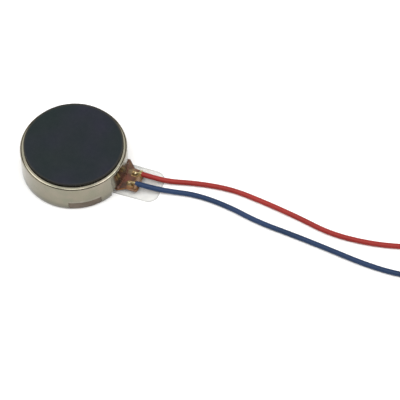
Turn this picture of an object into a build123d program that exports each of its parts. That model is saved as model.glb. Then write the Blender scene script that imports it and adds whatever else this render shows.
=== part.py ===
from build123d import *
import os
from math import pi, radians, tan

# Brushed coin vibration motor with two flying leads. Millimetres, +Z up.
# The origin is on the motor's axis, at the underside of the release liner.
# +X points along the flex tail, so the leads and the liner's tab leave on that side.

# ---- driving dimensions ----
# outside
CAN_RADIUS = 5.0
CAN_HEIGHT = 3.0
CAN_WALL = 0.2
CAN_CORNER = 0.24
CAN_INNER_CORNER = 0.1
LINER_THICKNESS = 0.05
TAPE_THICKNESS = 0.10
TAPE_RADIUS = 4.65
PAD_RADIUS = 4.66
PAD_OFFSET = (-0.02, 0.09)
PAD_THICKNESS = 0.26
PAD_FILM = 0.04

# release liner's pull tab
TAB_REACH = 8.6
TAB_HALF_WIDTH = 1.8
TAB_CORNER = 1.0

# base plate, its ears in the can's skirt, and the boss that holds the shaft
BASE_THICKNESS = 0.2
EAR_ANGLES = (62, 182, 302)
EAR_SPAN = 36
EAR_HEIGHT = 0.85
EAR_GAP = 0.02
EAR_SIDE_GAP = 0.5
EAR_RECESS = 0.02
BOSS_RADIUS = 0.7
BOSS_HEIGHT = 0.62

# flex circuit
FILM_THICKNESS = 0.05
COPPER_THICKNESS = 0.03
COVERLAY_THICKNESS = 0.03
FILM_DISC_RADIUS = 3.85
TAIL_CORNER = 0.2

# the tail's outline: how far it goes to +Y and to -Y at its root, its neck and its tip, and its reach;
# it flares towards the case, more on the +Y side
NECK_X = 5.58
FILM_ROOT = (2.05, 1.65)
FILM_NECK = (1.22, 1.24)
FILM_TIP = (1.1, 1.36)
FILM_REACH = 6.65
COVERLAY_ROOT = (1.93, 1.53)
COVERLAY_NECK = (1.12, 1.14)
COVERLAY_TIP = (0.98, 1.0)
COVERLAY_REACH = 6.5

# the case's slot, the copper and the pads on the tail
SLOT_SPAN = 52
SLOT_HEIGHT = 0.42
TRACE_Y = 1.0
TRACE_WIDTH = 0.36
LEAD_PITCH = 1.16
TAIL_PAD_LENGTH = 0.8
TAIL_PAD_WIDTH = 0.62
TAIL_PAD_START = 5.5

# magnet and brushes
MAGNET_OUTER = 3.7
MAGNET_INNER = 1.72
MAGNET_HEIGHT = 0.75
MAGNET_GLUE = 0.02
BRUSH_WIDTH = 0.34
BRUSH_THICKNESS = 0.05
BRUSH_FOOT_START = -1.1
BRUSH_FOOT_END = -0.55
BRUSH_TIP_START = 0.45
BRUSH_TIP_END = 0.8
BRUSH_TIP_DROP = 0.1
BRUSH_GAP = 0.02
BRUSH_SOLDER_HEIGHT = 0.06
BRUSH_SOLDER_LENGTH = 0.3
BRUSH_SOLDER_WIDTH = 0.24

# shaft, bush and washers
SHAFT_RADIUS = 0.4
SHAFT_CHAMFER = 0.05
BUSH_CLEARANCE = 0.02
BUSH_RADIUS = 0.8
BUSH_NOSE_RADIUS = 0.66
WASHER_THICKNESS = 0.08
WASHER_RADIUS = 0.68
END_FLOAT = 0.02

# rotor
ROTOR_BOARD_Z = 1.35
ROTOR_BOARD_THICKNESS = 0.2
ROTOR_RADIUS = 4.3
ROTOR_SPAN = 208
ROTOR_ANGLE = -90
ROTOR_HUB_RADIUS = 1.6
SEGMENT_COUNT = 6
SEGMENT_SPAN = 52
SEGMENT_INNER = 0.85
SEGMENT_OUTER = 1.4
SEGMENT_THICKNESS = 0.04
COIL_OFFSET_ANGLE = 52
COIL_SPAN = 84
COIL_INNER = 1.15
COIL_OUTER = 3.1
COIL_CORE_SPAN = 34
COIL_CORE_INNER = 1.8
COIL_CORE_OUTER = 2.5
COIL_HEIGHT = 0.8
COIL_CORNER = 0.35
COIL_CORE_CORNER = 0.12
WEIGHT_OUTER = 4.45
WEIGHT_INNER = 3.2
WEIGHT_SPAN = 150
WEIGHT_STEM_SPAN = 14
WEIGHT_STEM_INNER = 1.2
WEIGHT_HEIGHT = 1.15
WEIGHT_CHAMFER = 0.08
FRAME_HEIGHT = 0.9

# leads: insulated wire, stripped and tinned at both ends
LEAD_DIAMETER = 0.5
CONDUCTOR_DIAMETER = 0.24
RED_START_X = 6.45
BLUE_START_X = 6.25
LEAD_Y = LEAD_PITCH / 2
LEAD_START_Z = 0.70
TIP_LENGTH = 1.5
RUN_SHARE = 0.45

# solder and glue at the leads' joints
JOINT_LENGTH = 0.8
JOINT_LEVEL_LENGTH = 0.2
JOINT_FLAT_LENGTH = 0.32
JOINT_BEND = 0.2
SOLDER_LENGTH = 0.62
SOLDER_WIDTH = 0.52
SOLDER_HEIGHT = 0.26
SOLDER_TOP_SHARE = 0.55
SOLDER_SETBACK = 0.16
GLUE_START_X = 6.02
GLUE_LENGTH = 0.6
GLUE_WIDTH = 2.3
GLUE_HEIGHT = 0.48
GLUE_CORNER = 0.2
GLUE_TAPER = 15
SEALANT_SPAN = 36
SEALANT_WIDTH = 0.14
SEALANT_HEIGHT = 0.12

# ---- levels that follow from them ----
can_bottom = LINER_THICKNESS + TAPE_THICKNESS
can_top = can_bottom + CAN_HEIGHT
can_inner_radius = CAN_RADIUS - CAN_WALL
ceiling = can_top - CAN_WALL
base_top = can_bottom + BASE_THICKNESS
film_top = base_top + FILM_THICKNESS
copper_top = film_top + COPPER_THICKNESS
coverlay_top = copper_top + COVERLAY_THICKNESS
magnet_bottom = coverlay_top + MAGNET_GLUE
boss_top = base_top + BOSS_HEIGHT
lower_washer_top = boss_top + WASHER_THICKNESS
bush_bottom = lower_washer_top + END_FLOAT
upper_washer_bottom = ceiling - WASHER_THICKNESS
bush_top = upper_washer_bottom - END_FLOAT
rotor_floor = ROTOR_BOARD_Z + ROTOR_BOARD_THICKNESS
segment_bottom = ROTOR_BOARD_Z - SEGMENT_THICKNESS
brush_top = segment_bottom - BRUSH_GAP
lead_radius = LEAD_DIAMETER / 2
conductor_radius = CONDUCTOR_DIAMETER / 2

# ---- routes of the leads, from the tail to the end of the insulation ----
# They leave level over the tail's tip, come down over the liner's tab and then lie on the surface.
RED_ROUTE = [
    (RED_START_X, LEAD_Y, LEAD_START_Z),
    (7.4, LEAD_Y, LEAD_START_Z),
    (8.95, 0.84, 0.31),
    (11.7, 1.56, 0.25),
    (14.9, 1.92, 0.25),
    (18.3, 1.47, 0.25),
    (21.7, 0.86, 0.25),
    (24.9, 0.1, 0.25),
    (28.2, 0.14, 0.25),
    (31.4, 0.7, 0.25),
    (34.4, 1.6, 0.25),
]
BLUE_ROUTE = [
    (BLUE_START_X, -LEAD_Y, LEAD_START_Z),
    (7.4, -LEAD_Y, LEAD_START_Z),
    (9.05, -0.25, 0.31),
    (11.9, 0.29, 0.25),
    (15.1, 0.0, 0.25),
    (18.3, -0.8, 0.25),
    (21.9, -1.15, 0.25),
    (25.5, -1.62, 0.25),
    (29.0, -2.12, 0.25),
    (32.0, -2.2, 0.25),
    (34.7, -1.9, 0.25),
]

os.makedirs("parts", exist_ok=True)


def save(piece, name):
    """Label a finished piece and write it under its own name."""
    piece.part.label = name
    export_step(piece.part, f"parts/{name}.step")


def ring_sector(inner, outer, middle, span):
    """Draw one sector of a ring, centred on the angle `middle`."""
    start = middle - span / 2
    with BuildSketch() as sector:
        with BuildLine():
            inner_arc = CenterArc((0, 0), inner, start, span)
            outer_arc = CenterArc((0, 0), outer, start, span)
            Line(inner_arc @ 0, outer_arc @ 0)
            Line(inner_arc @ 1, outer_arc @ 1)
        make_face()
    return sector.sketch


def tail_outline(root, neck, tip, reach):
    """Draw the flex tail seen from above, from the motor's axis to its tip, with a rounded tip."""
    with BuildSketch() as outline:
        with BuildLine():
            Polyline(
                (0, root[0]),
                (can_inner_radius, root[0]),
                (NECK_X, neck[0]),
                (reach, tip[0]),
                (reach, -tip[1]),
                (NECK_X, -neck[1]),
                (can_inner_radius, -root[1]),
                (0, -root[1]),
                close=True,
            )
        make_face()
        fillet(outline.vertices().group_by(Axis.X)[-1], radius=TAIL_CORNER)
    return outline.sketch


def ring(inner, outer, bottom, height):
    """Make a plain ring about the motor's axis."""
    with BuildPart() as piece:
        with BuildSketch(Plane.XY.offset(bottom)):
            Circle(outer)
            Circle(inner, mode=Mode.SUBTRACT)
        extrude(amount=height)
    return piece


def route_radii(route):
    """Give each corner the largest arc that its two runs allow."""
    points = [Vector(*point) for point in route]
    radii = []
    for before, corner, after in zip(points, points[1:], points[2:]):
        arriving = corner - before
        leaving = after - corner
        turn = radians(arriving.get_angle(leaving))
        radii.append(RUN_SHARE * min(arriving.length, leaving.length) / tan(turn / 2))
    return radii


def round_wire(route, radii, radius):
    """Sweep a round section along straight runs joined by tangent arcs."""
    with BuildPart() as piece:
        with BuildLine():
            centreline = FilletPolyline(*route, radius=radii)
        with BuildSketch(Plane(origin=centreline @ 0, z_dir=centreline % 0)):
            Circle(radius)
        sweep(path=centreline)
    return piece, centreline.length


# ---- housing ----
with BuildPart() as case_cover:
    with BuildSketch(Plane.XZ):
        with BuildLine():
            Polyline(
                (0, can_top),
                (CAN_RADIUS, can_top),
                (CAN_RADIUS, can_bottom),
                (can_inner_radius, can_bottom),
                (can_inner_radius, ceiling),
                (0, ceiling),
                close=True,
            )
        section = make_face()
        outer_corner = section.vertices().group_by(Axis.Y)[-1].sort_by(Axis.X)[-1]
        fillet(outer_corner, radius=CAN_CORNER)
        inner_corner = section.vertices().sort_by_distance((can_inner_radius, ceiling))[0]
        fillet(inner_corner, radius=CAN_INNER_CORNER)
    revolve(axis=Axis.Z)
    with BuildSketch(Plane.XY.offset(can_bottom)):
        for ear_angle in EAR_ANGLES:
            add(ring_sector(can_inner_radius - CAN_WALL, CAN_RADIUS + CAN_WALL, ear_angle, EAR_SPAN))
    extrude(amount=EAR_HEIGHT + EAR_GAP, mode=Mode.SUBTRACT)
    with BuildSketch(Plane.XY.offset(can_bottom)):
        add(ring_sector(can_inner_radius - CAN_WALL, CAN_RADIUS + CAN_WALL, 0, SLOT_SPAN))
    extrude(amount=SLOT_HEIGHT, mode=Mode.SUBTRACT)
save(case_cover, "case_cover")

with BuildPart() as base_plate:
    with BuildSketch(Plane.XY.offset(can_bottom)):
        Circle(can_inner_radius)
    extrude(amount=BASE_THICKNESS)
    with BuildSketch(Plane.XY.offset(can_bottom)):
        for ear_angle in EAR_ANGLES:
            add(ring_sector(can_inner_radius, CAN_RADIUS - EAR_RECESS, ear_angle, EAR_SPAN - EAR_SIDE_GAP))
    extrude(amount=EAR_HEIGHT)
    with BuildSketch(Plane.XY.offset(base_top)):
        Circle(BOSS_RADIUS)
    extrude(amount=BOSS_HEIGHT)
    with BuildSketch(Plane.XY.offset(can_bottom)):
        Circle(SHAFT_RADIUS)
    extrude(amount=BASE_THICKNESS + BOSS_HEIGHT, mode=Mode.SUBTRACT)
save(base_plate, "base_plate")

with BuildPart() as shaft:
    with BuildSketch(Plane.XY.offset(can_bottom)):
        Circle(SHAFT_RADIUS)
    extrude(amount=ceiling - can_bottom)
    chamfer(shaft.edges().group_by(Axis.Z)[-1], length=SHAFT_CHAMFER)
save(shaft, "shaft")

with BuildPart() as foam_pad:
    with BuildSketch(Plane.XY.offset(can_top + PAD_FILM)):
        with Locations(PAD_OFFSET):
            Circle(PAD_RADIUS)
    extrude(amount=PAD_THICKNESS)
    fillet(foam_pad.edges().group_by(Axis.Z)[-1], radius=PAD_FILM)
save(foam_pad, "foam_pad")

with BuildPart() as pad_adhesive:
    with BuildSketch(Plane.XY.offset(can_top)):
        with Locations(PAD_OFFSET):
            Circle(PAD_RADIUS - PAD_FILM)
    extrude(amount=PAD_FILM)
save(pad_adhesive, "pad_adhesive")

# ---- underside: tape and release liner ----
with BuildPart() as base_adhesive:
    with BuildSketch(Plane.XY.offset(LINER_THICKNESS)):
        Circle(TAPE_RADIUS)
    extrude(amount=TAPE_THICKNESS)
save(base_adhesive, "base_adhesive")

with BuildPart() as release_liner:
    with BuildSketch():
        Circle(TAPE_RADIUS)
    extrude(amount=LINER_THICKNESS)
    with BuildSketch():
        with Locations((TAB_REACH / 2, 0)):
            tab = Rectangle(TAB_REACH, 2 * TAB_HALF_WIDTH)
        fillet(tab.vertices().group_by(Axis.X)[-1], radius=TAB_CORNER)
    extrude(amount=LINER_THICKNESS)
save(release_liner, "release_liner")

# ---- magnet ----
magnet = ring(MAGNET_INNER, MAGNET_OUTER, magnet_bottom, MAGNET_HEIGHT)
save(magnet, "ring_magnet")

# ---- flex circuit ----
with BuildPart() as flex_film:
    with BuildSketch(Plane.XY.offset(base_top)):
        Circle(FILM_DISC_RADIUS)
        add(tail_outline(FILM_ROOT, FILM_NECK, FILM_TIP, FILM_REACH))
        Circle(BOSS_RADIUS, mode=Mode.SUBTRACT)
    extrude(amount=FILM_THICKNESS)
save(flex_film, "flex_film")

with BuildPart() as flex_traces:
    with BuildSketch(Plane.XY.offset(film_top)):
        for side in (1, -1):
            pad_y = side * LEAD_PITCH / 2
            with BuildLine():
                Polyline(
                    (BRUSH_FOOT_START, side * (TRACE_Y - TRACE_WIDTH / 2)),
                    (CAN_RADIUS, side * (TRACE_Y - TRACE_WIDTH / 2)),
                    (TAIL_PAD_START, pad_y - side * TAIL_PAD_WIDTH / 4),
                    (TAIL_PAD_START, pad_y + side * TAIL_PAD_WIDTH / 4),
                    (CAN_RADIUS, side * (TRACE_Y + TRACE_WIDTH / 2)),
                    (BRUSH_FOOT_START, side * (TRACE_Y + TRACE_WIDTH / 2)),
                    close=True,
                )
            make_face()
            with Locations((TAIL_PAD_START + TAIL_PAD_LENGTH / 2, pad_y)):
                Rectangle(TAIL_PAD_LENGTH, TAIL_PAD_WIDTH)
    extrude(amount=COPPER_THICKNESS)
save(flex_traces, "flex_traces")

with BuildPart() as flex_coverlay:
    with BuildSketch(Plane.XY.offset(copper_top)):
        Circle(FILM_DISC_RADIUS)
        add(tail_outline(COVERLAY_ROOT, COVERLAY_NECK, COVERLAY_TIP, COVERLAY_REACH))
        Circle(MAGNET_INNER, mode=Mode.SUBTRACT)
        for side in (1, -1):
            with Locations((TAIL_PAD_START + TAIL_PAD_LENGTH / 2, side * LEAD_PITCH / 2)):
                Rectangle(TAIL_PAD_LENGTH, TAIL_PAD_WIDTH, mode=Mode.SUBTRACT)
    extrude(amount=COVERLAY_THICKNESS)
save(flex_coverlay, "flex_coverlay")


# ---- brushes: leaf springs that rise from the flex circuit to the commutator ----
def make_brush(y):
    """Make one leaf: a flat foot, a sloping arm and a tip bowed against the commutator."""
    crest = ((BRUSH_TIP_START + BRUSH_TIP_END) / 2, brush_top)
    with BuildPart() as piece:
        with BuildSketch(Plane.XZ.offset(-y - BRUSH_WIDTH / 2)):
            with BuildLine():
                lower = Polyline(
                    (BRUSH_FOOT_START, copper_top),
                    (BRUSH_FOOT_END, copper_top),
                    (BRUSH_TIP_START, brush_top - BRUSH_TIP_DROP / 2 - BRUSH_THICKNESS),
                )
                lower_bow = ThreePointArc(
                    lower @ 1,
                    (crest[0], crest[1] - BRUSH_THICKNESS),
                    (BRUSH_TIP_END, brush_top - BRUSH_TIP_DROP - BRUSH_THICKNESS),
                )
                end = Line(lower_bow @ 1, (BRUSH_TIP_END, brush_top - BRUSH_TIP_DROP))
                upper_bow = ThreePointArc(
                    end @ 1,
                    crest,
                    (BRUSH_TIP_START, brush_top - BRUSH_TIP_DROP / 2),
                )
                Polyline(
                    upper_bow @ 1,
                    (BRUSH_FOOT_END, copper_top + BRUSH_THICKNESS),
                    (BRUSH_FOOT_START, copper_top + BRUSH_THICKNESS),
                    lower @ 0,
                )
            make_face()
        extrude(amount=BRUSH_WIDTH)
    return piece


brush_positive = make_brush(TRACE_Y)
save(brush_positive, "brush_positive")
brush_negative = make_brush(-TRACE_Y)
save(brush_negative, "brush_negative")

with BuildPart() as brush_solder:
    with BuildSketch(Plane.XY.offset(copper_top + BRUSH_THICKNESS)):
        solder_x = BRUSH_FOOT_START + BRUSH_SOLDER_LENGTH / 2 + BRUSH_THICKNESS
        with Locations((solder_x, TRACE_Y), (solder_x, -TRACE_Y)):
            RectangleRounded(BRUSH_SOLDER_LENGTH, BRUSH_SOLDER_WIDTH, BRUSH_SOLDER_WIDTH / 4)
    extrude(amount=BRUSH_SOLDER_HEIGHT)
    chamfer(brush_solder.edges().group_by(Axis.Z)[-1], length=BRUSH_SOLDER_HEIGHT / 2)
save(brush_solder, "brush_solder")

# ---- thrust washers ----
washer_bore = SHAFT_RADIUS + BUSH_CLEARANCE
lower_washer = ring(washer_bore, WASHER_RADIUS, boss_top, WASHER_THICKNESS)
save(lower_washer, "lower_washer")
upper_washer = ring(washer_bore, WASHER_RADIUS, upper_washer_bottom, WASHER_THICKNESS)
save(upper_washer, "upper_washer")

# ---- rotor ----
with BuildPart() as bearing_bush:
    with BuildSketch(Plane.XY.offset(bush_bottom)):
        Circle(BUSH_NOSE_RADIUS)
    extrude(amount=ROTOR_BOARD_Z - bush_bottom)
    with BuildSketch(Plane.XY.offset(ROTOR_BOARD_Z)):
        Circle(BUSH_RADIUS)
    extrude(amount=bush_top - ROTOR_BOARD_Z)
    with BuildSketch(Plane.XY.offset(bush_bottom)):
        Circle(SHAFT_RADIUS + BUSH_CLEARANCE)
    extrude(amount=bush_top - bush_bottom, mode=Mode.SUBTRACT)
save(bearing_bush, "bearing_bush")

with BuildPart() as rotor_board:
    with BuildSketch(Plane.XY.offset(ROTOR_BOARD_Z)):
        add(ring_sector(BUSH_RADIUS, ROTOR_RADIUS - CAN_WALL, ROTOR_ANGLE, ROTOR_SPAN))
        Circle(ROTOR_HUB_RADIUS)
        Circle(BUSH_RADIUS, mode=Mode.SUBTRACT)
    extrude(amount=ROTOR_BOARD_THICKNESS)
save(rotor_board, "rotor_board")

with BuildPart() as commutator_segments:
    with BuildSketch(Plane.XY.offset(segment_bottom)):
        for index in range(SEGMENT_COUNT):
            segment_angle = index * 360 / SEGMENT_COUNT
            add(ring_sector(SEGMENT_INNER, SEGMENT_OUTER, segment_angle, SEGMENT_SPAN))
    extrude(amount=SEGMENT_THICKNESS)
save(commutator_segments, "commutator_segments")


def make_coil(middle):
    """Make one flat winding: a rounded sector with an open core."""
    with BuildPart() as piece:
        with BuildSketch(Plane.XY.offset(rotor_floor)) as outline:
            add(ring_sector(COIL_INNER, COIL_OUTER, middle, COIL_SPAN))
            fillet(outline.vertices(), radius=COIL_CORNER)
        extrude(amount=COIL_HEIGHT)
        with BuildSketch(Plane.XY.offset(rotor_floor)) as core:
            add(ring_sector(COIL_CORE_INNER, COIL_CORE_OUTER, middle, COIL_CORE_SPAN))
            fillet(core.vertices(), radius=COIL_CORE_CORNER)
        extrude(amount=COIL_HEIGHT, mode=Mode.SUBTRACT)
    return piece


coil_a = make_coil(ROTOR_ANGLE - COIL_OFFSET_ANGLE)
save(coil_a, "coil_a")
coil_b = make_coil(ROTOR_ANGLE + COIL_OFFSET_ANGLE)
save(coil_b, "coil_b")

with BuildPart() as counterweight:
    with BuildSketch(Plane.XY.offset(rotor_floor)):
        add(ring_sector(WEIGHT_INNER, WEIGHT_OUTER, ROTOR_ANGLE, WEIGHT_SPAN))
        add(ring_sector(WEIGHT_STEM_INNER, WEIGHT_INNER, ROTOR_ANGLE, WEIGHT_STEM_SPAN))
    extrude(amount=WEIGHT_HEIGHT)
    chamfer(counterweight.edges().group_by(Axis.Z)[-1], length=WEIGHT_CHAMFER)
save(counterweight, "counterweight")

with BuildPart() as rotor_frame:
    with BuildSketch(Plane.XY.offset(rotor_floor)):
        add(ring_sector(BUSH_RADIUS, ROTOR_RADIUS, ROTOR_ANGLE, ROTOR_SPAN))
        Circle(ROTOR_HUB_RADIUS)
        Circle(BUSH_RADIUS, mode=Mode.SUBTRACT)
    extrude(amount=FRAME_HEIGHT)
    add(coil_a.part, mode=Mode.SUBTRACT)
    add(coil_b.part, mode=Mode.SUBTRACT)
    add(counterweight.part, mode=Mode.SUBTRACT)
save(rotor_frame, "rotor_frame")

# ---- leads, each with a joint on the tail at one end and a tinned tip at the other ----
with BuildPart() as lead_glue:
    with BuildSketch(Plane.XY.offset(coverlay_top)):
        with Locations((GLUE_START_X + GLUE_LENGTH / 2, 0)):
            RectangleRounded(GLUE_LENGTH, GLUE_WIDTH, GLUE_CORNER)
    extrude(amount=GLUE_HEIGHT, taper=GLUE_TAPER)

for pole, route in (("positive", RED_ROUTE), ("negative", BLUE_ROUTE)):
    start_x, lead_y, start_z = route[0]
    radii = route_radii(route)
    lead, lead_length = round_wire(route, radii, lead_radius)
    save(lead, f"lead_{pole}")
    tube_volume = pi * lead_radius**2 * lead_length
    print(f"lead_{pole}: length {lead_length:.2f}, radii", [round(radius, 2) for radius in radii])
    print(f"  volume {lead.part.volume:.4f}, section times length {tube_volume:.4f}")

    last = Vector(*route[-1])
    heading = (last - Vector(*route[-2])).normalized()
    with BuildPart() as tip:
        with BuildSketch(Plane(origin=last, z_dir=heading)):
            Circle(conductor_radius)
        extrude(amount=TIP_LENGTH)
        fillet(tip.edges().sort_by_distance(last)[-1], radius=conductor_radius / 2)
    save(tip, f"lead_tip_{pole}")

    joint_z = copper_top + conductor_radius
    joint_route = [
        (start_x, lead_y, start_z),
        (start_x - JOINT_LEVEL_LENGTH, lead_y, start_z),
        (start_x - JOINT_LENGTH + JOINT_FLAT_LENGTH, lead_y, joint_z),
        (start_x - JOINT_LENGTH, lead_y, joint_z),
    ]
    joint, joint_length = round_wire(joint_route, [JOINT_BEND, JOINT_BEND], conductor_radius)
    save(joint, f"stripped_end_{pole}")

    solder_x = start_x - JOINT_LENGTH + SOLDER_SETBACK
    with BuildPart() as solder:
        with BuildSketch(Plane.XY.offset(copper_top)):
            with Locations((solder_x, lead_y)):
                Ellipse(SOLDER_LENGTH / 2, SOLDER_WIDTH / 2)
        with BuildSketch(Plane.XY.offset(copper_top + SOLDER_HEIGHT)):
            with Locations((solder_x, lead_y)):
                Ellipse(SOLDER_LENGTH * SOLDER_TOP_SHARE / 2, SOLDER_WIDTH * SOLDER_TOP_SHARE / 2)
        loft()
        add(joint.part, mode=Mode.SUBTRACT)
    save(solder, f"solder_{pole}")

    with lead_glue:
        for neighbour in (lead, joint, solder):
            add(neighbour.part, mode=Mode.SUBTRACT)
save(lead_glue, "lead_glue")

# ---- sealant that closes the case's slot along the tail's root ----
slot_top = can_bottom + SLOT_HEIGHT
with BuildPart() as root_sealant:
    with BuildSketch(Plane.XZ.rotated((0, 0, -SEALANT_SPAN / 2))):
        with BuildLine():
            Polyline(
                (can_inner_radius, coverlay_top),
                (CAN_RADIUS + SEALANT_WIDTH, coverlay_top),
                (CAN_RADIUS, slot_top + SEALANT_HEIGHT),
                (CAN_RADIUS, slot_top),
                (can_inner_radius, slot_top),
                close=True,
            )
        make_face()
    revolve(axis=Axis.Z, revolution_arc=SEALANT_SPAN)
save(root_sealant, "root_sealant")
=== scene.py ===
from math import asin, cos, pi, radians, sin

import bmesh
import bpy
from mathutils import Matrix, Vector, noise


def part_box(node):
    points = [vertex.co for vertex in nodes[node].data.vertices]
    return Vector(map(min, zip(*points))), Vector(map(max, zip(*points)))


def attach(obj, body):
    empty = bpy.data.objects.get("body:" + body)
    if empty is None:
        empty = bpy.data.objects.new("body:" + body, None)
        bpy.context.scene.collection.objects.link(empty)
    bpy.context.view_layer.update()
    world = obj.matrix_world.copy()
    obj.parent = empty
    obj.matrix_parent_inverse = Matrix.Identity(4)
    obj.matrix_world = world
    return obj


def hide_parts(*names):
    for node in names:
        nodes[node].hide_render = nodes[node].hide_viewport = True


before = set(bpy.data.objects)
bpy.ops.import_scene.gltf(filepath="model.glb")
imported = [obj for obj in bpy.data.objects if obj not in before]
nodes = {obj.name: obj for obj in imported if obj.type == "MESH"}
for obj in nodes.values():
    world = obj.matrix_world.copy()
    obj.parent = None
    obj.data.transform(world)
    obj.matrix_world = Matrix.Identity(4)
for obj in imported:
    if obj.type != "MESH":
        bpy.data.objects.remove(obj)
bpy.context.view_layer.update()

MM = 0.001
MICRON = 0.000001

# Sizes that the frame's boxes don't give, as the CAD model has them.
CAN_WALL = 0.2 * MM
CAN_CORNER = 0.24 * MM
SLOT_SPAN = 52
SLOT_HEIGHT = 0.42 * MM
EAR_ANGLES = (62, 182, 302)
EAR_SPAN = 36
EAR_CUT_HEIGHT = 0.87 * MM
TAPE_RADIUS = 4.65 * MM
TAB_HALF_WIDTH = 1.8 * MM
TAB_CORNER = 1.0 * MM
LEAD_RADIUS = 0.25 * MM
CONDUCTOR_RADIUS = 0.12 * MM
JOINT_LENGTH = 0.8 * MM
TIP_LENGTH = 1.5 * MM

# Sizes of the detail that only the visual model has.
EDGE_BREAK = 12 * MICRON
# The width of the painted shade along the release liner's rim.
LINER_SHADE_RIM = 100 * MICRON
LINER_GAP = 2 * MICRON
PAD_SHOULDER = 0.07 * MM
PAD_CELL_DEPTH = 5 * MICRON

# Places in materials, in millimetres in the part's frame.
# Radii where the pad's painted light at its rim starts and where it is full.
PAD_LIGHT_START = 4.45
PAD_LIGHT_END = 4.66
# Heights where the painted shade at the foot of the can's wall is full and where it ends.
CAN_SHADE_BOTTOM = 0.15
CAN_SHADE_TOP = 0.95
STAIN_SWAY = 0.9


# ---------------------------------------------------------------- camera, floor and light
CAMERA_AIM = Vector((12.4, 0.0, 0.0)) * MM
CAMERA_DISTANCE = 198.0 * MM
CAMERA_AZIMUTH = radians(18.5)
CAMERA_PITCH = radians(55.8)
CAMERA_LENS = 191.4


def make_camera():
    """Stand the camera at the photograph's viewing angle, aimed along its optical axis."""
    data = bpy.data.cameras.new("camera")
    data.lens = CAMERA_LENS
    data.sensor_width = 36.0
    data.clip_start = 0.01
    camera = bpy.data.objects.new("camera", data)
    bpy.context.scene.collection.objects.link(camera)
    outward = Vector((
        sin(CAMERA_AZIMUTH) * cos(CAMERA_PITCH),
        -cos(CAMERA_AZIMUTH) * cos(CAMERA_PITCH),
        sin(CAMERA_PITCH),
    ))
    camera.location = CAMERA_AIM + outward * CAMERA_DISTANCE
    camera.rotation_euler = (-outward).to_track_quat("-Z", "Y").to_euler()
    bpy.context.scene.camera = camera


def make_softbox(name, place, size, power):
    """Hang one square softbox, turned to face the motor."""
    data = bpy.data.lights.new(name, "AREA")
    data.size = size
    data.energy = power
    light = bpy.data.objects.new(name, data)
    bpy.context.scene.collection.objects.link(light)
    light.location = place
    light.rotation_euler = (-Vector(place)).to_track_quat("-Z", "Y").to_euler()


def make_world():
    """Light from above that falls off to a dim horizon, as in a tent with a low dark edge."""
    world = bpy.data.worlds.new("studio")
    bpy.context.scene.world = world
    world.use_nodes = True
    tree = world.node_tree
    tree.nodes.clear()
    output = tree.nodes.new("ShaderNodeOutputWorld")
    background = tree.nodes.new("ShaderNodeBackground")
    ramp = tree.nodes.new("ShaderNodeValToRGB")
    split = tree.nodes.new("ShaderNodeSeparateXYZ")
    coords = tree.nodes.new("ShaderNodeTexCoord")
    tree.links.new(coords.outputs["Generated"], split.inputs[0])
    tree.links.new(split.outputs["Z"], ramp.inputs["Fac"])
    tree.links.new(ramp.outputs["Color"], background.inputs["Color"])
    tree.links.new(background.outputs[0], output.inputs[0])
    ramp.color_ramp.elements[0].position = 0.57
    ramp.color_ramp.elements[0].color = (0.11, 0.09, 0.07, 1)
    ramp.color_ramp.elements[1].position = 0.74
    ramp.color_ramp.elements[1].color = (1.0, 1.0, 1.0, 1)
    background.inputs["Strength"].default_value = 1.6


def make_floor():
    bpy.ops.mesh.primitive_plane_add(size=1.2, location=(0, 0, -10 * MICRON))
    floor = bpy.context.object
    floor.name = "floor"
    material = bpy.data.materials.new("floor_white")
    material.use_nodes = True
    shader = material.node_tree.nodes["Principled BSDF"]
    shader.inputs["Base Color"].default_value = (0.94, 0.94, 0.935, 1)
    shader.inputs["Roughness"].default_value = 0.9
    shader.inputs["Specular IOR Level"].default_value = 0.0
    floor.data.materials.append(material)


make_camera()
make_world()
make_floor()
make_softbox("softbox_left", (-0.34, -0.16, 0.40), 0.42, 1.3)
make_softbox("softbox_right", (0.36, 0.02, 0.40), 0.36, 1.0)
make_softbox("softbox_front", (0.09, -0.27, 0.53), 0.26, 0.5)
bpy.context.scene.view_settings.view_transform = "Standard"


# ---------------------------------------------------------------- materials
def add_noise(tree, place, scale, detail=3.0, roughness=0.55):
    """One noise texture, with its scale in features per millimetre."""
    texture = tree.nodes.new("ShaderNodeTexNoise")
    texture.inputs["Scale"].default_value = scale
    texture.inputs["Detail"].default_value = detail
    texture.inputs["Roughness"].default_value = roughness
    tree.links.new(place, texture.inputs["Vector"])
    return texture.outputs["Fac"]


def add_ramp(tree, factor, low, high, start=0.35, end=0.65):
    """Blend two colours over the part of the factor's range that noise really uses."""
    ramp = tree.nodes.new("ShaderNodeValToRGB")
    ramp.color_ramp.elements[0].position = start
    ramp.color_ramp.elements[0].color = (*low, 1)
    ramp.color_ramp.elements[1].position = end
    ramp.color_ramp.elements[1].color = (*high, 1)
    tree.links.new(factor, ramp.inputs["Fac"])
    return ramp.outputs["Color"]


def add_mix(tree, factor, first, second):
    """Mix two colours, each a socket or a constant."""
    mix = tree.nodes.new("ShaderNodeMix")
    mix.data_type = "RGBA"
    tree.links.new(factor, mix.inputs["Factor"])
    for socket, colour in ((mix.inputs["A"], first), (mix.inputs["B"], second)):
        if isinstance(colour, tuple):
            socket.default_value = (*colour, 1)
        else:
            tree.links.new(colour, socket)
    return mix.outputs["Result"]


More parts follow.
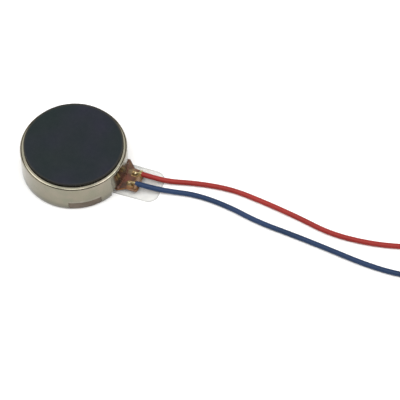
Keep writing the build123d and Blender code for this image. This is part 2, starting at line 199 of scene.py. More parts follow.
def finish(name, low, high, grain=1.0, rough=(0.4, 0.6), relief=(20.0, 1.0), metallic=0.0,
           stretch=(1, 1, 1), worn=None, **sockets):
    """A procedural finish: two tones and a roughness range blended by noise, over fine relief.

    `grain` is blotches per millimetre. `relief` is its features per millimetre and its depth in
    micrometres. `worn` is the colour that shows along rubbed edges.
    """
    material = bpy.data.materials.new(name)
    material.use_nodes = True
    tree = material.node_tree
    shader = tree.nodes["Principled BSDF"]
    coords = tree.nodes.new("ShaderNodeTexCoord")
    mapping = tree.nodes.new("ShaderNodeMapping")
    mapping.inputs["Scale"].default_value = [share / MM for share in stretch]
    tree.links.new(coords.outputs["Object"], mapping.inputs["Vector"])
    place = mapping.outputs["Vector"]

    colour = add_ramp(tree, add_noise(tree, place, grain), low, high)
    if worn:
        geometry = tree.nodes.new("ShaderNodeNewGeometry")
        edge = add_ramp(tree, geometry.outputs["Pointiness"], (0, 0, 0), (1, 1, 1), 0.51, 0.60)
        colour = add_mix(tree, edge, colour, worn)
    tree.links.new(colour, shader.inputs["Base Color"])

    spread = tree.nodes.new("ShaderNodeMapRange")
    spread.inputs["From Min"].default_value = 0.3
    spread.inputs["From Max"].default_value = 0.7
    spread.inputs["To Min"].default_value = rough[0]
    spread.inputs["To Max"].default_value = rough[1]
    tree.links.new(add_noise(tree, place, grain * 4, 6.0), spread.inputs["Value"])
    tree.links.new(spread.outputs["Result"], shader.inputs["Roughness"])

    bump = tree.nodes.new("ShaderNodeBump")
    bump.inputs["Distance"].default_value = relief[1] * MICRON
    tree.links.new(add_noise(tree, place, relief[0], 5.0), bump.inputs["Height"])
    tree.links.new(bump.outputs["Normal"], shader.inputs["Normal"])

    shader.inputs["Metallic"].default_value = metallic
    for key, value in sockets.items():
        shader.inputs[key.replace("_", " ")].default_value = value
    return material


def add_stains(tree, place, body, stains):
    """Lay soft-edged stains over a colour: each has a centre, a radius and a colour.

    Noise sways the place that is measured from, about its mean, so the stains are uneven.
    """
    stir = tree.nodes.new("ShaderNodeTexNoise")
    stir.inputs["Scale"].default_value = 1.8
    tree.links.new(place, stir.inputs["Vector"])
    sway = tree.nodes.new("ShaderNodeVectorMath")
    sway.operation = "MULTIPLY_ADD"
    sway.inputs[1].default_value = (STAIN_SWAY, STAIN_SWAY, STAIN_SWAY)
    tree.links.new(stir.outputs["Color"], sway.inputs[0])
    tree.links.new(place, sway.inputs[2])
    for centre, radius, colour in stains:
        gap = tree.nodes.new("ShaderNodeVectorMath")
        gap.operation = "DISTANCE"
        gap.inputs[1].default_value = [middle + STAIN_SWAY / 2 for middle in centre]
        tree.links.new(sway.outputs["Vector"], gap.inputs[0])
        fade = tree.nodes.new("ShaderNodeMapRange")
        fade.inputs["From Min"].default_value = radius
        fade.inputs["From Max"].default_value = radius * 0.4
        tree.links.new(gap.outputs["Value"], fade.inputs["Value"])
        body = add_mix(tree, fade.outputs["Result"], body, colour)
    return body


def make_coverlay():
    """Brown coverlay with flux stains, red in its middle and amber at its corner, and darker towards the
    can.
    """
    material = finish("coverlay_brown", (0.050, 0.030, 0.021), (0.135, 0.058, 0.036), grain=1.5,
                      rough=(0.35, 0.55), relief=(2.5, 8.0), Specular_IOR_Level=0.3)
    tree = material.node_tree
    shader = tree.nodes["Principled BSDF"]
    body = shader.inputs["Base Color"].links[0].from_socket
    stains = (
        ((4.75, 1.00, 0.3), 0.75, (0.070, 0.040, 0.025)),
        ((4.95, 1.45, 0.3), 0.40, (0.160, 0.085, 0.042)),
        ((5.00, -0.15, 0.3), 0.80, (0.145, 0.048, 0.031)),
        ((4.85, -1.00, 0.3), 0.60, (0.048, 0.030, 0.024)),
        ((5.45, 0.75, 0.3), 0.45, (0.200, 0.140, 0.072)),
        ((6.00, -1.00, 0.3), 0.55, (0.210, 0.100, 0.040)),
    )
    body = add_stains(tree, tree.nodes["Mapping"].outputs["Vector"], body, stains)
    tree.links.new(body, shader.inputs["Base Color"])
    return material


def make_nickel():
    """Satin nickel with faint warm and green patches, and painted shade toward the foot of its wall."""
    material = finish("nickel_plate", (0.213, 0.198, 0.146), (0.252, 0.231, 0.176), grain=0.45,
                      rough=(0.12, 0.22), relief=(14.0, 0.25), metallic=1.0, stretch=(1, 1, 0.15),
                      worn=(0.34, 0.32, 0.27))
    tree = material.node_tree
    shader = tree.nodes["Principled BSDF"]
    body = shader.inputs["Base Color"].links[0].from_socket
    place = tree.nodes.new("ShaderNodeVectorMath")
    place.operation = "DIVIDE"
    place.inputs[1].default_value = (MM, MM, MM)
    tree.links.new(tree.nodes["Texture Coordinate"].outputs["Object"], place.inputs[0])
    place = place.outputs["Vector"]
    green = (0.185, 0.195, 0.145)
    warm = (0.262, 0.225, 0.180)
    patches = add_ramp(tree, add_noise(tree, place, 0.9, 2.0), green, warm)
    amount = add_ramp(tree, add_noise(tree, place, 0.5, 1.0), (0.15, 0.15, 0.15), (0.55, 0.55, 0.55))
    body = add_mix(tree, amount, body, patches)
    # Painted shade: the colour darkens toward the bottom of the wall, for the floor's contact shadow seen
    # in the metal.
    split = tree.nodes.new("ShaderNodeSeparateXYZ")
    tree.links.new(place, split.inputs[0])
    rise = tree.nodes.new("ShaderNodeMapRange")
    rise.inputs["From Min"].default_value = CAN_SHADE_BOTTOM
    rise.inputs["From Max"].default_value = CAN_SHADE_TOP
    tree.links.new(split.outputs["Z"], rise.inputs["Value"])
    tree.links.new(add_mix(tree, rise.outputs["Result"], (0.135, 0.130, 0.105), body),
                   shader.inputs["Base Color"])
    return material


def make_foam():
    """Fine closed-cell foam: charcoal with faint blue and green drifts, and painted light toward its rim,
    lighter and browner there to lift its shaded side.
    """
    material = finish("foam_charcoal", (0.0120, 0.0160, 0.0190), (0.0165, 0.0200, 0.0225), grain=0.5,
                      rough=(0.75, 0.95), relief=(9.0, 9.0), Specular_IOR_Level=0.15)
    tree = material.node_tree
    shader = tree.nodes["Principled BSDF"]
    place = tree.nodes["Mapping"].outputs["Vector"]
    body = shader.inputs["Base Color"].links[0].from_socket
    green = (0.0100, 0.0180, 0.0170)
    blue = (0.0165, 0.0165, 0.0290)
    drift = add_ramp(tree, add_noise(tree, place, 0.22, 1.0), green, blue)
    amount = tree.nodes.new("ShaderNodeTexNoise")
    amount.inputs["Scale"].default_value = 0.4
    tree.links.new(place, amount.inputs["Vector"])
    body = add_mix(tree, amount.outputs["Fac"], body, drift)
    reach = tree.nodes.new("ShaderNodeVectorMath")
    reach.operation = "LENGTH"
    flat = tree.nodes.new("ShaderNodeVectorMath")
    flat.operation = "MULTIPLY"
    flat.inputs[1].default_value = (1, 1, 0)
    tree.links.new(place, flat.inputs[0])
    tree.links.new(flat.outputs["Vector"], reach.inputs[0])
    # Painted light: toward the rim the foam is lighter and browner, lifting its shaded side.
    edge = tree.nodes.new("ShaderNodeMapRange")
    edge.inputs["From Min"].default_value = PAD_LIGHT_START
    edge.inputs["From Max"].default_value = PAD_LIGHT_END
    tree.links.new(reach.outputs["Value"], edge.inputs["Value"])
    tree.links.new(add_mix(tree, edge.outputs["Result"], body, (0.036, 0.034, 0.028)),
                   shader.inputs["Base Color"])
    cells = tree.nodes.new("ShaderNodeTexVoronoi")
    cells.inputs["Scale"].default_value = 14.0
    tree.links.new(place, cells.inputs["Vector"])
    pores = tree.nodes.new("ShaderNodeBump")
    pores.inputs["Distance"].default_value = 14 * MICRON
    pores.inputs["Strength"].default_value = 0.6
    tree.links.new(cells.outputs["Distance"], pores.inputs["Height"])
    tree.links.new(tree.nodes["Bump"].outputs["Normal"], pores.inputs["Normal"])
    tree.links.new(pores.outputs["Normal"], shader.inputs["Normal"])
    return material


def make_glue_look():
    """Clear adhesive, yellow-green where it is thick at the positive lead and browner beyond it."""
    material = finish("glue_clear", (0.36, 0.30, 0.085), (0.52, 0.43, 0.16), grain=1.5,
                      rough=(0.06, 0.18), relief=(2.5, 12.0), Alpha=0.55, Coat_Weight=0.5)
    tree = material.node_tree
    shader = tree.nodes["Principled BSDF"]
    body = shader.inputs["Base Color"].links[0].from_socket
    split = tree.nodes.new("ShaderNodeSeparateXYZ")
    tree.links.new(tree.nodes["Mapping"].outputs["Vector"], split.inputs[0])
    along = tree.nodes.new("ShaderNodeMapRange")
    along.inputs["From Min"].default_value = 0.15
    along.inputs["From Max"].default_value = 0.65
    tree.links.new(split.outputs["Y"], along.inputs["Value"])
    tree.links.new(add_mix(tree, along.outputs["Result"], (0.28, 0.15, 0.065), body),
                   shader.inputs["Base Color"])
    return material


looks = {
    "can_nickel": make_nickel(),
    "base_steel": finish("zinc_steel", (0.108, 0.087, 0.067), (0.150, 0.122, 0.095), grain=1.2,
                         rough=(0.38, 0.55), relief=(18.0, 0.8), metallic=1.0),
    "pad_foam": make_foam(),
    "adhesive_film": finish("acrylic_tape", (0.60, 0.59, 0.54), (0.72, 0.71, 0.66), grain=1.5,
                            rough=(0.45, 0.7), relief=(12.0, 2.0)),
    "liner_film": finish("liner_film", (0.64, 0.64, 0.61), (0.70, 0.70, 0.67), grain=0.8,
                         rough=(0.25, 0.4), relief=(0.9, 1.5), Alpha=0.35),
    "liner_edge_shade": finish("liner_painted_edge_shade", (0.40, 0.41, 0.39), (0.47, 0.48, 0.46), grain=3.0,
                         rough=(0.3, 0.5), relief=(20.0, 1.0), Alpha=0.55),
    "polyimide": finish("polyimide_amber", (0.060, 0.032, 0.018), (0.26, 0.105, 0.028), grain=0.9,
                        rough=(0.18, 0.35), relief=(3.0, 4.0), Coat_Weight=0.3),
    "coverlay_film": make_coverlay(),
    "trace_copper": finish("gilded_copper", (0.34, 0.20, 0.08), (0.48, 0.33, 0.15), grain=3.0,
                           rough=(0.25, 0.45), relief=(16.0, 1.0), metallic=1.0),
    "brush_alloy": finish("brush_alloy", (0.62, 0.47, 0.25), (0.74, 0.60, 0.36), grain=2.0,
                          rough=(0.18, 0.32), relief=(24.0, 0.5), metallic=1.0,
                          stretch=(0.1, 1, 1)),
    "solder_tin": finish("fluxed_solder", (0.34, 0.25, 0.12), (0.56, 0.47, 0.29), grain=2.2,
                         rough=(0.18, 0.38), relief=(7.0, 4.0), metallic=0.85, Coat_Weight=0.5),
    "magnet_nickel": finish("magnet_nickel", (0.50, 0.49, 0.46), (0.60, 0.59, 0.56), grain=0.8,
                            rough=(0.2, 0.35), relief=(20.0, 0.6), metallic=1.0),
    "washer_film": finish("washer_film", (0.62, 0.60, 0.52), (0.72, 0.70, 0.62), grain=2.0,
                          rough=(0.35, 0.55), relief=(15.0, 1.0)),
    "board_laminate": finish("board_laminate", (0.035, 0.11, 0.035), (0.06, 0.17, 0.055), grain=5.0,
                             rough=(0.35, 0.5), relief=(9.0, 2.5)),
    "segment_gold": finish("segment_gold", (0.80, 0.56, 0.20), (0.90, 0.68, 0.30), grain=1.5,
                           rough=(0.12, 0.28), relief=(30.0, 0.4), metallic=1.0),
    "coil_copper": finish("coil_copper", (0.50, 0.17, 0.07), (0.66, 0.27, 0.12), grain=2.5,
                          rough=(0.2, 0.35), relief=(18.0, 0.8), metallic=0.85, Coat_Weight=0.6),
    "weight_tungsten": finish("sintered_tungsten", (0.20, 0.20, 0.21), (0.28, 0.28, 0.29), grain=3.0,
                              rough=(0.42, 0.6), relief=(26.0, 3.0), metallic=1.0),
    "frame_resin": finish("frame_resin", (0.030, 0.030, 0.032), (0.048, 0.048, 0.052), grain=1.5,
                          rough=(0.4, 0.55), relief=(12.0, 2.0)),
    "bush_bronze": finish("sintered_bronze", (0.42, 0.25, 0.11), (0.56, 0.36, 0.17), grain=6.0,
                          rough=(0.35, 0.55), relief=(30.0, 3.0), metallic=1.0),
    "shaft_steel": finish("shaft_steel", (0.54, 0.54, 0.54), (0.62, 0.62, 0.62), grain=1.0,
                          rough=(0.1, 0.2), relief=(40.0, 0.2), metallic=1.0, stretch=(0.2, 0.2, 3)),
    "glue_clear": make_glue_look(),
    "sealant_brown": finish("sealant_brown", (0.075, 0.036, 0.024), (0.150, 0.066, 0.042), grain=1.6,
                            rough=(0.2, 0.4), relief=(4.0, 8.0)),
    "insulation_red": finish("vinyl_red", (0.220, 0.0160, 0.0125), (0.275, 0.023, 0.018), grain=0.6,
                             rough=(0.4, 0.55), relief=(10.0, 2.0), stretch=(0.3, 1, 1),
                             Specular_IOR_Level=0.22),
    "insulation_blue": finish("vinyl_blue", (0.0070, 0.0220, 0.058), (0.0135, 0.033, 0.088), grain=0.6,
                              rough=(0.4, 0.55), relief=(10.0, 2.0), stretch=(0.3, 1, 1),
                              Specular_IOR_Level=0.22),
    "fluxed_wire": finish("fluxed_strands", (0.34, 0.27, 0.13), (0.52, 0.42, 0.23), grain=3.0,
                          rough=(0.22, 0.4), relief=(16.0, 1.5), metallic=0.8, Coat_Weight=0.4),
    "tinned_wire": finish("tinned_strands", (0.48, 0.46, 0.42), (0.62, 0.60, 0.56), grain=4.0,
                          rough=(0.2, 0.38), relief=(22.0, 1.0), metallic=1.0),
}


# ---------------------------------------------------------------- mesh helpers
def link_piece(name, mesh, *materials):
    """Put a mesh or curve into the scene under a name, with its materials."""
    piece = bpy.data.objects.new(name, mesh)
    bpy.context.scene.collection.objects.link(piece)
    for material in materials:
        mesh.materials.append(material)
    return piece


def piece_from(name, shape, *materials):
    """Turn a bmesh into a piece, with its faces turned outward."""
    bmesh.ops.recalc_face_normals(shape, faces=shape.faces)
    mesh = bpy.data.meshes.new(name)
    shape.to_mesh(mesh)
    shape.free()
    return link_piece(name, mesh, *materials)


def corners(node):
    """The low and high corners of a CAD node's box."""
    return [Vector(corner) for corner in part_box(node)]


def modify(piece, kind, **settings):
    change = piece.modifiers.new(kind.lower(), kind)
    for key, value in settings.items():
        setattr(change, key, value)


def apply_modifiers(piece):
    graph = bpy.context.evaluated_depsgraph_get()
    mesh = bpy.data.meshes.new_from_object(piece.evaluated_get(graph))
    piece.modifiers.clear()
    piece.data = mesh


def settle(piece, angle=35):
    """Apply the modifiers, and shade smooth wherever the surface turns by less than `angle`.

    The normals are weighted by area last of all, which keeps broad faces flat to their edges.
    """
    apply_modifiers(piece)
    piece.data.shade_smooth()
    piece.data.set_sharp_from_angle(angle=radians(angle))
    modify(piece, "WEIGHTED_NORMAL", keep_sharp=True, weight=100)
    apply_modifiers(piece)
    return piece


def join_rings(shape, rings, closed=True):
    """Skin a row of equally long vertex rings."""
    for ring, following in zip(rings, rings[1:]):
        count = len(ring)
        for index in range(count if closed else count - 1):
            after = (index + 1) % count
            shape.faces.new((ring[index], ring[after], following[after], following[index]))


def lathe(name, profile, material, steps=256):
    """Turn a profile of (radius, height) that starts and ends on the axis."""
    shape = bmesh.new()
    rings = []
    for radius, height in profile[1:-1]:
        turn = [2 * pi * step / steps for step in range(steps)]
        rings.append([shape.verts.new((radius * cos(a), radius * sin(a), height)) for a in turn])
    join_rings(shape, rings)
    for ring, height in ((rings[0], profile[0][1]), (rings[-1], profile[-1][1])):
        centre = shape.verts.new((0, 0, height))
        for index in range(steps):
            shape.faces.new((ring[index], ring[(index + 1) % steps], centre))
    return piece_from(name, shape, material)


def refine(node, bevel, material):
    """Stand in for a CAD piece: the same solid with its sharp edges broken."""
    shape = bmesh.new()
    shape.from_mesh(nodes[node].data)
    bmesh.ops.remove_doubles(shape, verts=shape.verts, dist=0.5 * MICRON)
    bmesh.ops.dissolve_limit(shape, angle_limit=radians(1), verts=shape.verts, edges=shape.edges)
    piece = piece_from(node + "_detail", shape, material)
    modify(piece, "BEVEL", width=bevel, segments=2, limit_method="ANGLE", angle_limit=radians(35))
    return settle(piece)


def add_tube(shape, points, radius, sides=10, end_radius=None):
    """Sweep a round section along points, and close both ends."""
    rings = []
    side = Vector((0, 0, 1))
    last = len(points) - 1
    for index, point in enumerate(points):
        along = (points[min(index + 1, last)] - points[max(index - 1, 0)]).normalized()
        across = along.cross(side).normalized()
        up = across.cross(along)
        here = radius if end_radius is None or index < last else end_radius
        turn = [2 * pi * step / sides for step in range(sides)]
        rings.append([shape.verts.new(point + (across * cos(a) + up * sin(a)) * here) for a in turn])
    join_rings(shape, rings)
    shape.faces.new(rings[0])
    shape.faces.new(rings[-1])


def add_route(curve, route):
    """Give a curve one smooth NURBS spline through a route's control points."""
    spline = curve.splines.new("NURBS")
    spline.points.add(len(route) - 1)
    for point, place in zip(spline.points, route):
        point.co = (*place, 1.0)
    spline.order_u = 3
    spline.use_endpoint_u = True


def smooth_line(route, count):
    """Even points along the smooth curve that a route's control points draw."""
    curve = bpy.data.curves.new("line", "CURVE")
    curve.dimensions = "3D"
    curve.resolution_u = count
    add_route(curve, route)
    holder = bpy.data.objects.new("line", curve)
    mesh = bpy.data.meshes.new_from_object(holder)
    points = [vertex.co.copy() for vertex in mesh.vertices]
    bpy.data.objects.remove(holder)
    bpy.data.curves.remove(curve)
    bpy.data.meshes.remove(mesh)
    return points


# ---------------------------------------------------------------- the can, the pad and the tape
can_low, can_high = corners("case_cover")
CAN_RADIUS = can_high.x
CAN_COLUMNS = 360


def degrees_of(point):
    return (Vector((1, 0)).angle_signed(Vector((point.x, -point.y))) * 180 / pi) % 360


def cut_height(degree):
    """How high the skirt is cut away there: over the tail's slot, and over the base's ears."""
    if abs((degree + 180) % 360 - 180) < SLOT_SPAN / 2:
        return SLOT_HEIGHT
    if any(abs(degree - ear) < EAR_SPAN / 2 for ear in EAR_ANGLES):
        return EAR_CUT_HEIGHT
    return 0.0


def make_can():
    """The drawn cup: one skin, cut out along its skirt, then given the sheet's thickness inward."""
    straight_top = can_high.z - CAN_CORNER
    heights = [can_low.z, can_low.z + SLOT_HEIGHT, can_low.z + EAR_CUT_HEIGHT]
    heights += [heights[-1] + (straight_top - heights[-1]) * step / 6 for step in range(1, 7)]
    profile = [(CAN_RADIUS, height) for height in heights]
    for step in range(1, 11):
        turn = radians(9 * step)
        profile.append((CAN_RADIUS - CAN_CORNER * (1 - cos(turn)), straight_top + CAN_CORNER * sin(turn)))
    profile += [(CAN_RADIUS * share, can_high.z) for share in (0.93, 0.8, 0.6, 0.4, 0.2)]
    shape = bmesh.new()
    angles = [radians(column) for column in range(CAN_COLUMNS)]
    rings = [[shape.verts.new((r * cos(a), r * sin(a), z)) for a in angles] for r, z in profile]
    join_rings(shape, rings)
    shape.faces.new(rings[-1])
    gone = []
    for face in shape.faces:
        middle = face.calc_center_median()
        degree = degrees_of(middle)
        if middle.z - can_low.z < cut_height(degree):
            gone.append(face)
    bmesh.ops.delete(shape, geom=gone, context="FACES")
    piece = piece_from("drawn_can", shape, looks["can_nickel"])
    modify(piece, "SOLIDIFY", thickness=CAN_WALL, offset=-1, use_even_offset=True)
    modify(piece, "BEVEL", width=EDGE_BREAK, segments=2, limit_method="ANGLE", angle_limit=radians(50))
    return settle(piece, 40)


def make_pad():
    """A die-cut foam disc: level top with soft cells, rounded shoulder and an uneven cut side."""
    low, high = corners("foam_pad")
    centre = (low + high) / 2
    radius = high.x - centre.x
    profile = [(0, low.z), (radius - PAD_SHOULDER, low.z), (radius - 10 * MICRON, low.z + 10 * MICRON)]
    profile += [(radius, low.z + (high.z - PAD_SHOULDER - low.z) * share) for share in (0.3, 0.6, 1.0)]
    for step in range(1, 7):
        turn = radians(15 * step)
        profile.append((radius - PAD_SHOULDER * (1 - cos(turn)), high.z - PAD_SHOULDER * (1 - sin(turn))))
    profile += [((radius - PAD_SHOULDER) * (1 - step / 90), high.z) for step in range(1, 90)]
    profile.append((0, high.z))
    piece = lathe("foam_disc", profile, looks["pad_foam"], steps=320)
    inward = [-vertex.normal for vertex in piece.data.vertices]
    for vertex, sink in zip(piece.data.vertices, inward):
        if vertex.co.z > low.z + PAD_SHOULDER:
            cells = noise.noise(vertex.co * 9 / MM) + noise.noise(vertex.co * 2 / MM)
            vertex.co += sink * PAD_CELL_DEPTH * (1 + 0.5 * cells)
        vertex.co += Vector((centre.x, centre.y, 0))
    return settle(piece, 60)


def make_disc(name, node, edge, material):
    """A thin die-cut disc with a slightly rounded rim, as large as its CAD solid."""
    low, high = corners(node)
    centre = (low + high) / 2
    radius = high.x - centre.x
    profile = [(0, low.z), (radius - edge, low.z), (radius, low.z + edge)]
    profile += [(radius, high.z - edge), (radius - edge, high.z), (0, high.z)]
    piece = lathe(name, profile, material)
    for vertex in piece.data.vertices:
        vertex.co += Vector((centre.x, centre.y, 0))
    return settle(piece)


def make_liner():
    """The release liner: a disc with a round-cornered pull tab, with painted shade along its cut rim for
    the dark line that light bent at the film's edge shows.

    Its top is 2 micrometres below the tape, so that the two surfaces don't share a plane.
    """
    low, high = corners("release_liner")
    meet = asin(TAB_HALF_WIDTH / TAPE_RADIUS)
    corner_x = high.x - TAB_CORNER
    outline = []
    for step in range(181):
        turn = meet + (2 * pi - 2 * meet) * step / 180
        outline.append((TAPE_RADIUS * cos(turn), TAPE_RADIUS * sin(turn)))
    for side in (-1, 1):
        for step in range(13):
            turn = radians(7.5 * step if side > 0 else 7.5 * step - 90)
            outline.append((corner_x + TAB_CORNER * cos(turn),
                            side * (TAB_HALF_WIDTH - TAB_CORNER) + TAB_CORNER * sin(turn)))
    shape = bmesh.new()
    face = shape.faces.new([shape.verts.new((x, y, low.z)) for x, y in outline])
    lifted = bmesh.ops.extrude_face_region(shape, geom=[face])["geom"]
    for vertex in lifted:
        if isinstance(vertex, bmesh.types.BMVert):
            vertex.co.z = high.z - LINER_GAP
    top = [face for face in lifted if isinstance(face, bmesh.types.BMFace)]
    # Painted shade: a band round the top's rim and the cut sides take the darker edge material.
    rim = bmesh.ops.inset_region(shape, faces=top, thickness=LINER_SHADE_RIM)["faces"]
    for face in shape.faces:
        face.material_index = 1 if face in rim or abs(face.normal.z) < 0.5 else 0
    return settle(piece_from("pull_tab_liner", shape, looks["liner_film"], looks["liner_edge_shade"]))


# ---------------------------------------------------------------- leads, their joints and tips
RED_ROUTE = [
    (0.00645, 0.00058, 0.0007),
    (0.0074, 0.00058, 0.0007),
    (0.00895, 0.00084, 0.00031),
    (0.0117, 0.00156, 0.00025),
    (0.0149, 0.00192, 0.00025),
    (0.0183, 0.00147, 0.00025),
    (0.0217, 0.00086, 0.00025),
    (0.0249, 0.0001, 0.00025),
    (0.0282, 0.00014, 0.00025),
    (0.0314, 0.0007, 0.00025),
    (0.0344, 0.0016, 0.00025),
]
BLUE_ROUTE = [
    (0.00625, -0.00058, 0.0007),
    (0.0074, -0.00058, 0.0007),
    (0.00905, -0.00025, 0.00031),
    (0.0119, 0.00029, 0.00025),
    (0.0151, 0.0, 0.00025),
    (0.0183, -0.0008, 0.00025),
    (0.0219, -0.00115, 0.00025),
    (0.0255, -0.00162, 0.00025),
    (0.0290, -0.00212, 0.00025),
    (0.0320, -0.0022, 0.00025),
    (0.0347, -0.0019, 0.00025),
]


def make_lead(name, route, material):
    """One smooth NURBS line through the route's control points, with a round bevel."""
    curve = bpy.data.curves.new(name, "CURVE")
    curve.dimensions = "3D"
    curve.bevel_depth = LEAD_RADIUS
    curve.bevel_resolution = 8
    curve.resolution_u = 24
    curve.use_fill_caps = True
    add_route(curve, route)
    return link_piece(name, curve, material)


def make_strands(name, line, twist, material):
    """Seven tinned strands twisted together along a line: one in the middle and six round it."""
    strand = CONDUCTOR_RADIUS / 3
    shape = bmesh.new()
    add_tube(shape, line, strand * 1.25)
    last = len(line) - 1
    for number in range(6):
        points = []
        for index, point in enumerate(line):
            along = (line[min(index + 1, last)] - line[max(index - 1, 0)]).normalized()
            across = along.cross(Vector((0, 0, 1))).normalized()
            up = across.cross(along)
            turn = 2 * pi * (number / 6 + twist * index / last)
            points.append(point + (across * cos(turn) + up * sin(turn)) * 2 * strand)
        add_tube(shape, points, strand)
    return settle(piece_from(name, shape, material))


def make_blob(name, centre, half_size, lumps, material, seed):
    """A frozen drop: a concave foot that wets the surface under a domed, uneven top."""
    profile = [(0, 0), (1.0, 0.0), (0.99, 0.05), (0.88, 0.14), (0.76, 0.32), (0.66, 0.55),
               (0.53, 0.78), (0.35, 0.93), (0.17, 0.99), (0, 1.0)]
    piece = lathe(name, profile, material, steps=40)
    for vertex in piece.data.vertices:
        rise = vertex.co.z
        wobble = 1 + lumps * rise * noise.noise(vertex.co * 1.7 + Vector((seed, 0, 0)))
        wander = 1 + lumps * noise.noise(Vector((vertex.co.x, vertex.co.y, seed)))
        vertex.co.x *= half_size[0] * wander
        vertex.co.y *= half_size[1] * wander
        vertex.co.z = rise * half_size[2] * wobble
        vertex.co += Vector(centre)
    modify(piece, "SUBSURF", levels=2, render_levels=2)
    return settle(piece, 80)


def make_glue():
    """A bead of clear adhesive across the tail's tip that grips both leads."""
    low, high = corners("lead_glue")
    middle = (low + high) / 2
    steps, sides = 48, 20
    shape = bmesh.new()
    rings = []
    for step in range(steps + 1):
        share = 2 * step / steps - 1
        swell = (1 - abs(share) ** 2.6) ** 0.5
        y = middle.y + share * (high.y - low.y) / 2
        ring = []
        for side in range(sides):
            turn = 2 * pi * side / sides
            lump = 1 + 0.18 * noise.noise(Vector((cos(turn), sin(turn), share * 3.1)))
            wide = (high.x - low.x) / 2 * max(swell, 0.05) * lump
            tall = (high.z - low.z) * max(swell, 0.05) * (0.9 + 0.1 * cos(share * pi * 2))
            rise = max(sin(turn), 0.0) ** 0.75
            ring.append(shape.verts.new((middle.x + wide * cos(turn), y, low.z + tall * rise)))
        rings.append(ring)
    join_rings(shape, rings)
    shape.faces.new(rings[0])
    shape.faces.new(rings[-1])
    piece = piece_from("glue_bead", shape, looks["glue_clear"])
    modify(piece, "SUBSURF", levels=1, render_levels=1)
    return settle(piece, 80)


# ---------------------------------------------------------------- the rotor's windings
COIL_OFFSET_ANGLE = 52
ROTOR_ANGLE = -90
COIL_TURNS = 7
COIL_LAYERS = 8
COIL_STEPS = 120


def coil_section():
    """The winding's cross-section, 0 to 1 each way: a rectangle whose sides are rows of round wires."""
    section = []
    sides = (((0, 0), (1, 0), COIL_TURNS), ((1, 0), (1, 1), COIL_LAYERS),
             ((1, 1), (0, 1), COIL_TURNS), ((0, 1), (0, 0), COIL_LAYERS))
    for start, end, wires in sides:
        start, end = Vector(start), Vector(end)
        inward = (end - start).orthogonal()
        for wire in range(wires):
            for step in range(4):
                share = (wire + step / 4) / wires
                dip = 0.35 / wires * (1 - sin(pi * step / 4))
                section.append(start.lerp(end, share) + inward * dip)
    return section


def make_coil(name, node, middle, material):
    """A flat rounded-sector winding round an open core."""
    low, high = corners(node)
    hole = (2.15 * MM, 0.35 * MM, radians(17))
    outside = (2.125 * MM, 0.975 * MM, radians(42))
    squareness = 0.4
    shape = bmesh.new()
    rings = []
    for step in range(COIL_STEPS):
        turn = 2 * pi * step / COIL_STEPS
        swing_r = abs(cos(turn)) ** squareness * (1 if cos(turn) > 0 else -1)
        swing_a = abs(sin(turn)) ** squareness * (1 if sin(turn) > 0 else -1)
        ring = []
        for share, rise in coil_section():
            centre, half_r, half_a = (a + (b - a) * share for a, b in zip(hole, outside))
            radius = centre + half_r * swing_r
            angle = radians(middle) + half_a * swing_a
            height = low.z + (high.z - low.z) * rise
            ring.append(shape.verts.new((radius * cos(angle), radius * sin(angle), height)))
        rings.append(ring)
    join_rings(shape, rings + [rings[0]])
    return settle(piece_from(name, shape, material), 50)


# ---------------------------------------------------------------- assembly
def place(piece, body, slot, *replaced):
    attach(piece, body)
    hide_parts(*replaced)


place(make_can(), "housing", "can_nickel", "case_cover")
pad = make_pad()
place(pad, "housing", "pad_foam", "foam_pad")
place(make_disc("pad_tape", "pad_adhesive", 5 * MICRON, looks["adhesive_film"]),
      "housing", "adhesive_film", "pad_adhesive")
place(make_disc("mounting_tape", "base_adhesive", 10 * MICRON, looks["adhesive_film"]),
      "housing", "adhesive_film", "base_adhesive")
place(make_liner(), "housing", "liner_film", "release_liner")

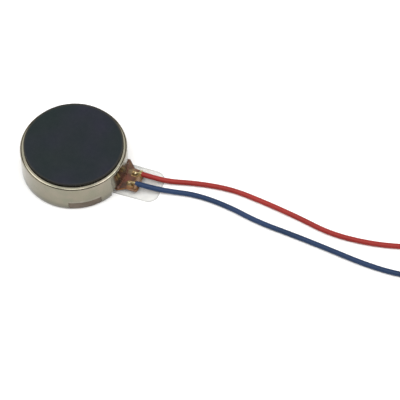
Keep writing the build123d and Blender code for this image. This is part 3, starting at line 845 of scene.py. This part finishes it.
for body, node, slot, bevel in (
    ("housing", "base_plate", "base_steel", 20),
    ("housing", "shaft", "shaft_steel", 10),
    ("housing", "ring_magnet", "magnet_nickel", 50),
    ("housing", "flex_film", "polyimide", 6),
    ("housing", "flex_traces", "trace_copper", 5),
    ("housing", "flex_coverlay", "coverlay_film", 8),
    ("housing", "brush_positive", "brush_alloy", 8),
    ("housing", "brush_negative", "brush_alloy", 8),
    ("housing", "brush_solder", "solder_tin", 15),
    ("housing", "lower_washer", "washer_film", 10),
    ("housing", "upper_washer", "washer_film", 10),
    ("housing", "root_sealant", "sealant_brown", 20),
    ("rotor", "bearing_bush", "bush_bronze", 15),
    ("rotor", "rotor_board", "board_laminate", 10),
    ("rotor", "commutator_segments", "segment_gold", 6),
    ("rotor", "counterweight", "weight_tungsten", 30),
    ("rotor", "rotor_frame", "frame_resin", 20),
):
    place(refine(node, bevel * MICRON, looks[slot]), body, slot, node)

for node, side in (("coil_a", -1), ("coil_b", 1)):
    coil = make_coil(node + "_winding", node, ROTOR_ANGLE + side * COIL_OFFSET_ANGLE, looks["coil_copper"])
    place(coil, "rotor", "coil_copper", node)

copper_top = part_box("flex_traces")[1][2]
for pole, route, slot, seed in (
    ("positive", RED_ROUTE, "insulation_red", 1.0),
    ("negative", BLUE_ROUTE, "insulation_blue", 5.0),
):
    start = Vector(route[0])
    end = Vector(route[-1])
    heading = (end - Vector(route[-2])).normalized()

    lead = make_lead(f"{pole}_lead", route, looks[slot])
    place(lead, "housing", slot, f"lead_{pole}")

    tip = make_strands(f"{pole}_tip", [end + heading * TIP_LENGTH * step / 40 for step in range(41)],
                       0.9, looks["tinned_wire"])
    place(tip, "housing", "tinned_wire", f"lead_tip_{pole}")

    low_z = copper_top + CONDUCTOR_RADIUS
    descent = [
        start,
        start - Vector((JOINT_LENGTH / 4, 0, 0)),
        Vector((start.x - JOINT_LENGTH * 0.6, start.y, low_z)),
        Vector((start.x - JOINT_LENGTH, start.y, low_z)),
    ]
    joint = make_strands(f"{pole}_joint", smooth_line(descent, 12), 0.5, looks["fluxed_wire"])
    place(joint, "housing", "tinned_wire", f"stripped_end_{pole}")

    low, high = corners(f"solder_{pole}")
    half = (high - low) / 2
    solder = make_blob(f"{pole}_solder", ((low.x + high.x) / 2, start.y, low.z),
                       (half.x, half.y, 2 * half.z), 0.22, looks["solder_tin"], seed)
    place(solder, "housing", "solder_tin", f"solder_{pole}")

place(make_glue(), "housing", "glue_clear", "lead_glue")
